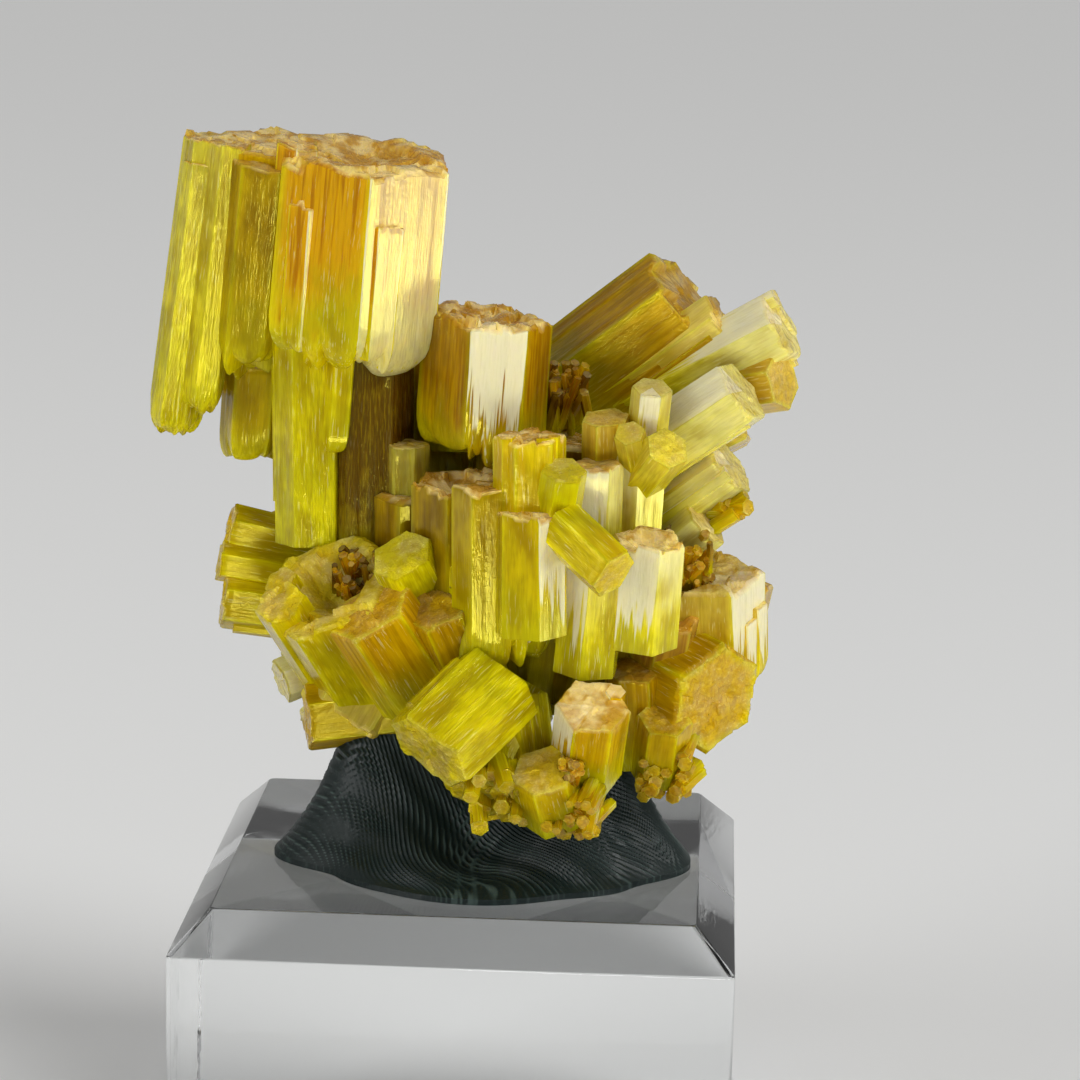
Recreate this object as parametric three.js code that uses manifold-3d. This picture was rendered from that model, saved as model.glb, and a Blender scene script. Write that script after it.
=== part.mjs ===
// A pyromorphite crystal cluster on its display block.
//
// Millimetres, +Z up, X to the right and +Y away from the front.
// The origin is the centre of the block's underside.
// The part has three pieces: a clear acrylic block with a bevelled top, a mound of dark
// putty pressed onto it, and the crystals, which grew together and are one solid.

import * as THREE from 'three';
import { mergeVertices } from 'three/addons/utils/BufferGeometryUtils.js';
import Module from 'manifold-3d';

const wasm = await Module();
wasm.setup();

// Display block, a stock 1 1/4 inch square
const BLOCK_WIDTH = 31.75;
const BLOCK_HEIGHT = 19.05;
const BEVEL_INSET = 2.2;
const BEVEL_DROP = 2.25;
const CORNER_CUT = 0.35;
const EDGE_CUT = 0.3;

// Free space left between pieces that touch
const CONTACT_GAP = 0.03;
const POCKET_GAP = 0.12;

// Putty mound: footprint reach from its middle at every 30 degrees, starting at +X
const PUTTY_CENTRE = [1, -2.5];
const PUTTY_REACH = [12.2, 12.0, 10.4, 9.6, 10.2, 11.6, 12.4, 9.4, 8.9, 9.0, 8.8, 10.0];
const PUTTY_RIM = 0.35;
const PUTTY_RINGS = 6;
const PUTTY_SIDES = 36;
// Each peak: place, height above the block, and how far its flared side spreads
const PUTTY_PEAKS = [
  { at: [-6.4, -2.6], height: 11.5, spread: 4.0 },
  { at: [9.2, -1.6], height: 8.5, spread: 4.2 },
  { at: [1.5, 2.5], height: 8.0, spread: 5.5 },
];

// The thumb-pressed hollow between the two front peaks
const PUTTY_HOLLOW = { at: [0.6, -7.0], spread: [3.6, 4.2], depth: 0.8 };

// Crystals are hexagonal prisms. For each one:
// tip = centre of the end face, lean = degrees to the right, tilt = degrees to the front,
// turn = degrees about its own axis, flat = half the distance across its flats,
// wide = half the extra width of its two wide faces, long = length,
// root = how far the free lower end narrows, pit = depth of a hollow in the end face,
// ledges = parallel growth steps on its sides.
const UPPER_LEFT = [
  { tip: [-6.7, -1, 60.6], lean: 5, tilt: 8, turn: -21, flat: 4.5, wide: 0.3, long: 12.6, root: 0.8, pit: 1,
    ledges: 4 },
  { tip: [-11.5, 1, 60.9], lean: 6, tilt: 8, turn: -10, flat: 3.3, long: 14.2, root: 0.8, ledges: 2 },
  { tip: [-12.3, -1.6, 60], lean: 6, tilt: 8, turn: 0, flat: 1.6, wide: 0.2, long: 13, root: 0.7 },
  { tip: [-15.6, 0, 61.2], lean: 8, tilt: 6, turn: 0, flat: 1.4, long: 18.4, root: 0.6, ledges: 1 },
  { tip: [-14.4, -1, 60.9], lean: 7, tilt: 6, turn: 20, flat: 1.1, long: 16.6, root: 0.6 },
  { tip: [-16.1, -0.6, 59.7], lean: 8, tilt: 6, turn: 10, flat: 0.9, long: 16.6, root: 0.6 },
  { tip: [-15.2, 1.8, 60.4], lean: 7, tilt: 5, turn: 15, flat: 1.6, long: 15.5, root: 0.6 },
  { tip: [-7.2, 3.2, 59.6], lean: 4, tilt: 4, turn: 8, flat: 2.6, long: 13.5, root: 0.7, ledges: 1 },
  { tip: [-13.2, 3, 47.5], lean: 4, tilt: 0, turn: 0, flat: 1.6, wide: 0.2, long: 6, root: 0.8 },
  { tip: [-7.7, -1.6, 49], lean: 4, tilt: 0, turn: 10, flat: 0.9, long: 6, root: 0.6 },
  { tip: [-9.8, -0.5, 50.5], lean: -1, tilt: 0, turn: 12, flat: 1.7, wide: 0.2, long: 13, ledges: 1 },
];

const CENTRE = [
  { tip: [0.6, -1.4, 51.6], lean: 3, tilt: 2, turn: -53, flat: 2.8, wide: 1, long: 9.4, root: 0.9, pit: 0.5,
    ledges: 2 },
  { tip: [-6.4, 0.2, 50], lean: 0, tilt: 0, turn: 8, flat: 2.3, long: 15 },
  { tip: [-3.9, -1.6, 43.8], lean: 0, tilt: 2, turn: -8, flat: 1.1, long: 9 },
  { tip: [-0.7, -4, 42.4], lean: -1, tilt: 4, turn: 20, flat: 2.5, long: 12, pit: 0.8, ledges: 2 },
  { tip: [0.9, -7.2, 42.6], lean: -1, tilt: 2, turn: 12, flat: 1.6, long: 10.8, root: 0.8 },
  { tip: [3.4, -7.2, 45.6], lean: -1, tilt: 2, turn: 10, flat: 1.8, long: 11, ledges: 1 },
  { tip: [3.6, -8.6, 41.6], lean: -1, tilt: 2, turn: -14, flat: 1.75, wide: 0.1, long: 7.3, ledges: 1 },
  { tip: [4.5, -7.8, 45.6], lean: -1, tilt: 2, turn: 20, flat: 0.6, long: 5 },
  { tip: [1.9, -6.2, 38], lean: 0, tilt: 4, turn: 0, flat: 2.4, wide: 0.3, long: 6.2, root: 0.85 },
  { tip: [5.5, -9.2, 43.9], lean: 8, tilt: 25, turn: 15, flat: 1.15, long: 5 },
  { tip: [8.5, -11.6, 38.5], lean: 125, tilt: 35, turn: 10, flat: 1.3, wide: 0.1, long: 4.6 },
  { tip: [7.2, -6, 43.8], lean: 0, tilt: 5, turn: 0, flat: 1.3, long: 7 },
  { tip: [9.6, -4, 44.2], lean: 2, tilt: 5, turn: 30, flat: 1.5, long: 8 },
  { tip: [10.3, -8, 40.1], lean: 3, tilt: 10, turn: -12, flat: 1.75, wide: 0.1, long: 6.6, pit: 0.4,
    ledges: 1 },
  { tip: [7.3, -7.4, 38.6], lean: 4, tilt: 6, turn: 25, flat: 1.7, long: 6.8, ledges: 1 },
  { tip: [10.2, -5, 48], lean: 5, tilt: 20, turn: 0, flat: 1, long: 5 },
  { tip: [7.6, -5, 46.2], lean: 0, tilt: 20, turn: 20, flat: 0.95, wide: 0.3, long: 5 },
  { tip: [11.2, -7, 44.9], lean: 30, tilt: 45, turn: 0, flat: 1.15, long: 5 },
  { tip: [9, -6.4, 45.6], lean: -10, tilt: 40, turn: 10, flat: 0.8, long: 4 },
];

const RIGHT_FAN = [
  { tip: [12.9, 3.6, 51.4], lean: 50, tilt: 8, turn: 0, flat: 3.2, wide: 0.8, long: 11.5, ledges: 3 },
  { tip: [12, 5.2, 51.8], lean: 50, tilt: 8, turn: 20, flat: 1.6, long: 10 },
  { tip: [14.2, 1.6, 51.2], lean: 52, tilt: 10, turn: 10, flat: 1.5, long: 11 },
  { tip: [17.7, 0.6, 51], lean: 58, tilt: 14, turn: 10, flat: 1.9, long: 11, ledges: 1 },
  { tip: [17.7, -0.4, 47.9], lean: 74, tilt: 30, turn: 0, flat: 1.6, long: 6 },
  { tip: [18.2, 1.4, 49.3], lean: 66, tilt: 10, turn: 20, flat: 0.9, long: 6 },
  { tip: [15.4, -3.2, 47.7], lean: 52, tilt: 16, turn: 15, flat: 1.85, long: 11, ledges: 1 },
  { tip: [14.9, -1.2, 43], lean: 50, tilt: 15, turn: 0, flat: 1.65, long: 9, ledges: 1 },
  { tip: [13.6, -2, 39.8], lean: 46, tilt: 15, turn: 0, flat: 1.4, long: 7 },
  { tip: [15, 3.6, 45.6], lean: 62, tilt: -6, turn: 12, flat: 2.2, long: 10, ledges: 1 },
];

const LOWER_LEFT = [
  { tip: [-8.3, -5.2, 36.1], lean: -24, tilt: 34, turn: 0, flat: 3.5, wide: 0.3, long: 9.5, pit: 2.2,
    ledges: 2 },
  { tip: [-5.6, -7.4, 35.2], lean: -28, tilt: 26, turn: 8, flat: 2, wide: 0.4, long: 7.2, ledges: 1 },
  { tip: [-3.8, -6.6, 38.2], lean: -18, tilt: 42, turn: 20, flat: 1.4, wide: 0.3, long: 8 },
  { tip: [-1.7, -7.1, 35.5], lean: -20, tilt: 28, turn: 8, flat: 1.9, long: 6.6, ledges: 1 },
  { tip: [-14.9, 2, 37.8], lean: -75, tilt: 10, turn: 0, flat: 1.25, long: 7 },
  { tip: [-15.3, 1, 35.9], lean: -80, tilt: 10, turn: 0, flat: 1.1, long: 8 },
  { tip: [-15.1, 1, 33.6], lean: -82, tilt: 10, turn: 0, flat: 1.6, long: 8, ledges: 1 },
  { tip: [-7.6, -3, 27.1], lean: -150, tilt: 25, turn: 0, flat: 2, wide: 0.6, long: 6, ledges: 1 },
  { tip: [-9.6, -3.4, 27.6], lean: -96, tilt: 14, turn: 0, flat: 1.6, wide: 0.2, long: 8, ledges: 1 },
  { tip: [-11.5, 0, 28.8], lean: -110, tilt: 25, turn: 0, flat: 1.2, long: 6 },
  { tip: [-9.2, -2, 26.6], lean: -130, tilt: 35, turn: 0, flat: 1.2, long: 5 },
];

const LOWER_RIGHT = [
  { tip: [13.1, -1.4, 36.8], lean: -3, tilt: 12, turn: 0, flat: 3.3, wide: 0.1, long: 7.8, root: 0.6,
    ledges: 3 },
  { tip: [11.6, -4.6, 35], lean: 8, tilt: 22, turn: 15, flat: 1.6, long: 7, pit: 0.4 },
  { tip: [14.5, -5.2, 29.9], lean: 103, tilt: 49, turn: 8, flat: 3, long: 7.5, ledges: 1 },
  { tip: [15.6, 0.8, 36], lean: 12, tilt: 5, turn: 15, flat: 1.9, long: 9 },
  { tip: [9.6, -5, 31.6], lean: -4, tilt: 16, turn: 0, flat: 1.5, long: 6 },
  { tip: [11.5, -6.6, 29.2], lean: 6, tilt: 28, turn: 0, flat: 1.4, long: 4.5, ledges: 1 },
  { tip: [7.5, -11, 30.9], lean: 6, tilt: 35, turn: 5, flat: 1.85, long: 6, ledges: 1 },
  { tip: [4.7, -11, 27.1], lean: -12, tilt: 35, turn: 10, flat: 1.7, long: 4, ledges: 1 },
  { tip: [-1.7, -12.3, 28.1], lean: -130, tilt: 42, turn: 30, flat: 1.9, wide: 0.7, long: 6.4, ledges: 1 },
  { tip: [0.5, -9, 25.1], lean: -150, tilt: 45, turn: 0, flat: 2, long: 7, ledges: 1 },
  { tip: [3.4, -7.4, 23], lean: 170, tilt: 20, turn: 12, flat: 2.2, long: 7, ledges: 1 },
];

const BACK = [
  { tip: [-3.5, 7, 49.5], lean: -4, tilt: -14, turn: 12, flat: 2.4, long: 13 },
  { tip: [3.2, 8.6, 48.2], lean: 8, tilt: -22, turn: -8, flat: 2.9, wide: 0.3, long: 13, pit: 0.6,
    ledges: 2 },
  { tip: [9.4, 9.2, 46.4], lean: 28, tilt: -30, turn: 18, flat: 2.2, long: 12 },
  { tip: [-9.8, 8, 43.4], lean: -28, tilt: -26, turn: 0, flat: 2.1, long: 11 },
  { tip: [14.6, 7.4, 40.4], lean: 62, tilt: -24, turn: 10, flat: 2.3, long: 11, ledges: 1 },
  { tip: [-12.6, 6.4, 36.6], lean: -66, tilt: -24, turn: 8, flat: 2, long: 10 },
  { tip: [1.2, 12.6, 40.6], lean: 4, tilt: -58, turn: 0, flat: 2.7, long: 11, pit: 0.6, ledges: 2 },
  { tip: [8.2, 12.4, 36], lean: 30, tilt: -68, turn: 14, flat: 2.2, long: 10, ledges: 1 },
  { tip: [-6.4, 11.4, 35], lean: -30, tilt: -66, turn: 6, flat: 2.5, long: 10, ledges: 1 },
  { tip: [-11.4, 5.4, 30.6], lean: -100, tilt: -24, turn: 0, flat: 1.9, long: 9 },
  { tip: [1.6, 12.2, 31.6], lean: 10, tilt: -92, turn: 20, flat: 2.3, long: 9 },
  { tip: [13.8, 5.6, 31.4], lean: 96, tilt: -26, turn: 0, flat: 2.3, long: 9, ledges: 1 },
  { tip: [7.6, 9.4, 28], lean: 140, tilt: -40, turn: 10, flat: 2, long: 8 },
  { tip: [-5.4, 8.4, 27.6], lean: -150, tilt: -34, turn: 0, flat: 2.2, long: 8 },
];

// Large crystals in the middle that the outer ones grow from
const CORE = [
  { tip: [-1.5, 2, 41.5], lean: 0, tilt: 4, turn: 8, flat: 6, long: 15, root: 0.7 },
  { tip: [6, 2.4, 44.6], lean: 6, tilt: 2, turn: 20, flat: 5.4, long: 17.5, root: 0.6 },
  { tip: [-5.3, 2.4, 37.4], lean: -6, tilt: 4, turn: 10, flat: 4.6, long: 10, root: 0.7 },
  { tip: [9.4, 0.5, 38], lean: 12, tilt: 6, turn: 12, flat: 4.8, long: 12, root: 0.6 },
];

// Crusts of very small crystals: middle, direction they grow in, spread, number and size
const DRUSES = [
  { at: [6.4, -10.6, 24.2], lean: 30, tilt: 110, spread: 1.3, count: 5, size: 0.55 },
  { at: [11.5, -5.8, 25.6], lean: 40, tilt: 110, spread: 1.3, count: 5, size: 0.6 },
  { at: [15.2, -1.4, 40.8], lean: 70, tilt: 30, spread: 0.7, count: 3, size: 0.5 },
  { at: [12.4, -3.4, 38.0], lean: 20, tilt: 40, spread: 1.3, count: 4, size: 0.55 },
  { at: [5.4, -1.0, 47.6], lean: 10, tilt: 30, spread: 0.9, count: 3, size: 0.5 },
  { at: [-6.5, -4.1, 36.7], lean: -20, tilt: 35, spread: 1.2, count: 4, size: 0.5 },
];

const END_BEVEL = 0.3;
const END_SCALE = 0.9;
const PLAIN_END = 1.25;
const ROOT_TAPER = 1.4;
const DRUSE_FAN = 50;
const DRUSE_ROOT = 4;
const PIT_RIM = 0.62;
const PIT_FLOOR = 0.3;

const radians = THREE.MathUtils.degToRad;

// A repeatable stream of numbers from 0 to 1
function randomStream(seed) {
  let state = seed;
  return () => {
    state = (state * 16807) % 2147483647;
    return state / 2147483647;
  };
}

// A closed solid through rings of points, all with the same number of points, anticlockwise
// seen from above, lowest ring first. Each end is closed with a fan to its middle.
function solidOfRings(rings) {
  const sides = rings[0].length;
  const points = rings.flat();
  const faces = [];
  for (let level = 0; level + 1 < rings.length; level += 1) {
    for (let side = 0; side < sides; side += 1) {
      const next = (side + 1) % sides;
      const a = level * sides + side;
      const b = level * sides + next;
      faces.push([a, b, b + sides], [a, b + sides, a + sides]);
    }
  }
  const last = (rings.length - 1) * sides;
  const middle = (ring) => ring.reduce((sum, p) => sum.add(p), new THREE.Vector3()).divideScalar(sides);
  points.push(middle(rings[0]), middle(rings[rings.length - 1]));
  for (let side = 0; side < sides; side += 1) {
    const next = (side + 1) % sides;
    faces.push([points.length - 2, next, side]);
    faces.push([points.length - 1, last + side, last + next]);
  }
  const geometry = new THREE.BufferGeometry();
  geometry.setAttribute('position', new THREE.Float32BufferAttribute(points.flatMap((p) => p.toArray()), 3));
  geometry.setIndex(faces.flat());
  return geometry;
}

function toManifold(geometry) {
  const merged = mergeVertices(geometry);
  return new wasm.Manifold(new wasm.Mesh({
    numProp: 3,
    vertProperties: new Float32Array(merged.attributes.position.array),
    triVerts: new Uint32Array(merged.index.array),
  }));
}

function toGeometry(manifold) {
  const mesh = manifold.getMesh();
  const geometry = new THREE.BufferGeometry();
  geometry.setAttribute('position', new THREE.BufferAttribute(new Float32Array(mesh.vertProperties), 3));
  geometry.setIndex(new THREE.BufferAttribute(new Uint32Array(mesh.triVerts), 1));
  return geometry;
}

// The six corners of a crystal's section at one height, as points on its own axes
function hexagon(flat, wide, scale, height) {
  const reach = flat / Math.cos(Math.PI / 6);
  const corners = [];
  for (let corner = 0; corner < 6; corner += 1) {
    const angle = (corner * Math.PI) / 3;
    const side = Math.cos(angle) > 0 ? wide : -wide;
    corners.push(new THREE.Vector3(
      scale * (reach * Math.cos(angle) + side),
      scale * reach * Math.sin(angle),
      height,
    ));
  }
  return corners;
}

// One crystal, grown outwards on every side by a margin
function crystal({ tip, lean, tilt, turn, flat, wide = 0, long, root = 1, pit = 0 }, margin = 0) {
  const width = flat + margin;
  const bottom = -long - margin;
  const rings = [hexagon(width, wide, root, bottom)];
  if (root < 1) rings.push(hexagon(width, wide, 1, bottom + ROOT_TAPER));
  if (flat < PLAIN_END) {
    rings.push(hexagon(width, wide, 1, margin));
  } else {
    rings.push(hexagon(width, wide, 1, margin - END_BEVEL));
    rings.push(hexagon(width, wide, END_SCALE, margin));
  }
  if (pit > 0 && margin === 0) {
    rings.push(hexagon(width, wide, PIT_RIM, 0));
    rings.push(hexagon(width, wide, PIT_FLOOR, -pit));
  }
  const placed = new THREE.Matrix4().makeRotationFromEuler(
    new THREE.Euler(radians(tilt), radians(lean), radians(turn), 'YXZ'),
  );
  placed.setPosition(...tip);
  return solidOfRings(rings).applyMatrix4(placed);
}

// Thinner crystals parallel to a large one, standing a little out of its sides, with
// their own heights, so that the large one has ledges and a stepped end
function growthSteps(main, seed) {
  const random = randomStream(seed);
  const turned = new THREE.Matrix4().makeRotationFromEuler(
    new THREE.Euler(radians(main.tilt), radians(main.lean), radians(main.turn), 'YXZ'),
  );
  const steps = [];
  for (let step = 0; step < main.ledges; step += 1) {
    const flat = main.flat * (0.26 + 0.16 * random());
    const face = Math.floor(6 * random());
    const normal = ((face + 0.5) * Math.PI) / 3;
    const along = (random() - 0.5) * main.flat * 0.7;
    const out = main.flat - flat + 0.12 + 0.22 * random();
    const drop = random() < 0.3 ? -0.35 * random() : 0.4 + 0.3 * main.long * random();
    const offset = new THREE.Vector3(
      out * Math.cos(normal) - along * Math.sin(normal),
      out * Math.sin(normal) + along * Math.cos(normal),
      -drop,
    );
    offset.x += Math.sign(offset.x) * (main.wide ?? 0);
    const tip = offset.applyMatrix4(turned).add(new THREE.Vector3(...main.tip)).toArray();
    const rest = main.long - Math.max(drop, 0);
    steps.push({ ...main, tip, flat, wide: 0, pit: 0, long: rest * (0.75 + 0.2 * random()) });
  }
  return steps;
}

function druseGrains({ at, lean, tilt, spread, count, size }, seed) {
  const random = randomStream(seed);
  const grains = [];
  for (let grain = 0; grain < count; grain += 1) {
    grains.push({
      tip: at.map((middle) => middle + spread * (2 * random() - 1)),
      lean: lean + DRUSE_FAN * (random() - 0.5),
      tilt: tilt + DRUSE_FAN * (random() - 0.5),
      turn: 60 * random(),
      flat: size * (0.75 + 0.5 * random()),
      long: DRUSE_ROOT,
    });
  }
  return grains;
}

function allCrystals() {
  const grown = [...CORE, ...UPPER_LEFT, ...CENTRE, ...RIGHT_FAN, ...LOWER_LEFT, ...LOWER_RIGHT, ...BACK];
  const steps = grown.flatMap((main, index) => (main.ledges ? growthSteps(main, 101 + 37 * index) : []));
  const grains = DRUSES.flatMap((druse, index) => druseGrains(druse, 907 + 53 * index));
  return [...grown, ...steps, ...grains];
}

function joined(crystals, margin) {
  return crystals
    .map((one) => toManifold(crystal(one, margin)))
    .reduce((whole, one) => whole.add(one));
}

// Square with cut corners, as a ring of eight points
function blockRing(halfWidth, height) {
  const edge = halfWidth - CORNER_CUT;
  const ring = [];
  for (let quarter = 0; quarter < 4; quarter += 1) {
    const turned = (quarter * Math.PI) / 2;
    for (const [x, y] of [[halfWidth, -edge], [halfWidth, edge]]) {
      const point = new THREE.Vector3(x, y, height);
      ring.push(point.applyAxisAngle(new THREE.Vector3(0, 0, 1), turned));
    }
  }
  return ring;
}

function acrylicBlock() {
  const half = BLOCK_WIDTH / 2;
  return solidOfRings([
    blockRing(half - EDGE_CUT, 0),
    blockRing(half, EDGE_CUT),
    blockRing(half, BLOCK_HEIGHT - BEVEL_DROP),
    blockRing(half - BEVEL_INSET, BLOCK_HEIGHT),
  ]);
}

// How far the putty reaches in one direction, smooth between the listed reaches
function puttyReach(angle) {
  const count = PUTTY_REACH.length;
  const place = (((angle / (2 * Math.PI)) * count) % count + count) % count;
  const from = Math.floor(place);
  const blend = (1 - Math.cos(Math.PI * (place - from))) / 2;
  return PUTTY_REACH[from] * (1 - blend) + PUTTY_REACH[(from + 1) % count] * blend;
}

// Height of the putty: flared peaks added together, pressed in at the hollow, running out at the rim
function puttyHeight(x, y, share) {
  let height = 0;
  for (const peak of PUTTY_PEAKS) {
    const away = Math.hypot(x - peak.at[0], y - peak.at[1]) / peak.spread;
    height += peak.height * Math.exp(-away * Math.sqrt(0.6 + away * 0.4));
  }
  const [middleX, middleY] = PUTTY_HOLLOW.at;
  const [spreadX, spreadY] = PUTTY_HOLLOW.spread;
  const inHollow = Math.exp(-(((x - middleX) / spreadX) ** 2) - ((y - middleY) / spreadY) ** 2);
  return PUTTY_RIM + height * (1 - share ** 3) * (1 - PUTTY_HOLLOW.depth * inHollow);
}

function puttyMound(base) {
  const rings = [];
  for (let ring = 0; ring <= PUTTY_RINGS; ring += 1) {
    const share = ring === 0 ? 1 : 1 - (ring - 1) / PUTTY_RINGS;
    const points = [];
    for (let side = 0; side < PUTTY_SIDES; side += 1) {
      const angle = (side / PUTTY_SIDES) * 2 * Math.PI;
      const reach = share * puttyReach(angle);
      const x = PUTTY_CENTRE[0] + reach * Math.cos(angle);
      const y = PUTTY_CENTRE[1] + reach * Math.sin(angle);
      points.push(new THREE.Vector3(x, y, ring === 0 ? base : base + puttyHeight(x, y, share)));
    }
    rings.push(points);
  }
  return solidOfRings(rings);
}

const crystals = allCrystals();
const cluster = joined(crystals, 0);
const pocket = joined(crystals, POCKET_GAP);
const putty = toManifold(puttyMound(BLOCK_HEIGHT + CONTACT_GAP)).subtract(pocket);

const acrylic = new THREE.MeshStandardMaterial({ color: 0xeaf0f2, roughness: 0.04, metalness: 0 });
const darkPutty = new THREE.MeshStandardMaterial({ color: 0x1c2b2c, roughness: 0.7, metalness: 0 });
const pyromorphite = new THREE.MeshStandardMaterial({ color: 0xb0a424, roughness: 0.3, metalness: 0 });

function piece(name, geometry, material) {
  const mesh = new THREE.Mesh(geometry, material);
  mesh.name = name;
  return mesh;
}

const specimen = new THREE.Group();
specimen.add(
  piece('acrylic_block', acrylicBlock(), acrylic),
  piece('mounting_putty', toGeometry(putty), darkPutty),
  piece('pyromorphite_cluster', toGeometry(cluster), pyromorphite),
);

export default specimen;
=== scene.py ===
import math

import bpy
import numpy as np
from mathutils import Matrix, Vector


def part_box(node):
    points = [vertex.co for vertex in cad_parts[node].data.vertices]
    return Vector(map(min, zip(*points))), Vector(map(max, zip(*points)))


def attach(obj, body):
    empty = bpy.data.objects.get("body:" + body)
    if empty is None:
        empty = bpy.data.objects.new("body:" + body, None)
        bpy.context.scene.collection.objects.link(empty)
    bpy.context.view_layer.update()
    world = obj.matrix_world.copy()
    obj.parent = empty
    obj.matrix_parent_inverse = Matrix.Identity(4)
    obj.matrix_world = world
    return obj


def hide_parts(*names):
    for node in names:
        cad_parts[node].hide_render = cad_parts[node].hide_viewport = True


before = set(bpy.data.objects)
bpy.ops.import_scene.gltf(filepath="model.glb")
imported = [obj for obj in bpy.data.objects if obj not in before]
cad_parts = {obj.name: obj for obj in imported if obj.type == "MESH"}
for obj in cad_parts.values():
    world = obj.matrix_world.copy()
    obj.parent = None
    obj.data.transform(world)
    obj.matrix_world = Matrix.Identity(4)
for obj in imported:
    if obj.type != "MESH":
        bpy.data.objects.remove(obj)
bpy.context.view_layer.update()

# A pyromorphite crystal cluster, held by putty on a clear acrylic display block.
# Lengths in the tables and settings are millimetres. Meshes are in metres, in the frame's axes:
# +Z up, +X right and +Y away from the front, with the origin under the middle of the block.

bl_info = {
    "name": "Crystal Specimen",
    "version": (1, 0, 0),
    "blender": (4, 5, 0),
    "location": "3D View > Sidebar > Specimen",
    "description": "Builds a pyromorphite cluster on its display block, with its stage",
    "category": "Add Mesh",
}

MM = 0.001


def crystal(tip, lean, tilt, turn, flat, long, **rest):
    """One row of the tables below, as a dict.

    tip = centre of its end face, lean = degrees to the right, tilt = degrees to the front,
    turn = degrees about its own axis, flat = half the distance across its flats, long = length.
    The rest can be left out: wide = half the extra width of its two wide faces, root = how far
    a free lower end narrows, pit = depth of a hollow in the end, ledges = growth steps that
    stand out. Looks, mostly from 0 to 1: amber, pale and dark colouring, rough = how broken the
    end face is, crust = how far a crust covers it (else as rough), grain = size of its patches
    against the usual, stria = how deeply the sides are grooved, and last a painted glare, a cream
    highlight painted on the side that faces most in the given direction, as long as the share of
    that side that it covers (past 0.8 the painted glare thins).
    """
    return dict(tip=tip, lean=lean, tilt=tilt, turn=turn, flat=flat, long=long, **rest)


UPPER_LEFT = [
    crystal((-6.7, -1, 60.6), 5, 8, -21, 4.5, 12.6, wide=0.3, root=0.8, pit=1, ledges=4, amber=0.9,
            rough=1, grain=0.8, frost=(0.7, -1, 0)),
    crystal((-11.5, 1, 60.9), 6, 8, -10, 3.3, 14.2, root=0.8, ledges=2, amber=0.6, dark=0.1, rough=1),
    crystal((-12.3, -1.6, 60), 6, 8, 0, 1.6, 13, wide=0.2, root=0.7, amber=0.5, dark=0.6, rough=0.6),
    crystal((-15.6, 0, 61.2), 8, 6, 0, 1.4, 18.4, root=0.6, ledges=1, amber=0.1, pale=0.1, rough=0.9,
            stria=1),
    crystal((-14.4, -1, 60.9), 7, 6, 20, 1.1, 16.6, root=0.6, amber=0.1, pale=0.1, rough=0.9, stria=1),
    crystal((-16.1, -0.6, 59.7), 8, 6, 10, 0.9, 16.6, root=0.6, amber=0.05, pale=0.1, rough=0.8, stria=1),
    crystal((-15.2, 1.8, 60.4), 7, 5, 15, 1.6, 15.5, root=0.6, amber=0.1, pale=0.1, rough=0.8),
    crystal((-7.2, 3.2, 59.6), 4, 4, 8, 2.6, 13.5, root=0.7, ledges=1, amber=0.6, dark=0.1, rough=0.8),
    crystal((-13.2, 3, 47.5), 4, 0, 0, 1.6, 6, wide=0.2, root=0.8, amber=0.4, dark=0.3, rough=0.5),
    crystal((-7.7, -1.6, 49), 4, 0, 10, 0.9, 6, root=0.6, amber=0.1, rough=0.5),
    crystal((-9.8, -0.5, 50.5), -1, 0, 12, 1.7, 13, wide=0.2, ledges=1, amber=0.1, rough=0.3, stria=0.9),
]

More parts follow.
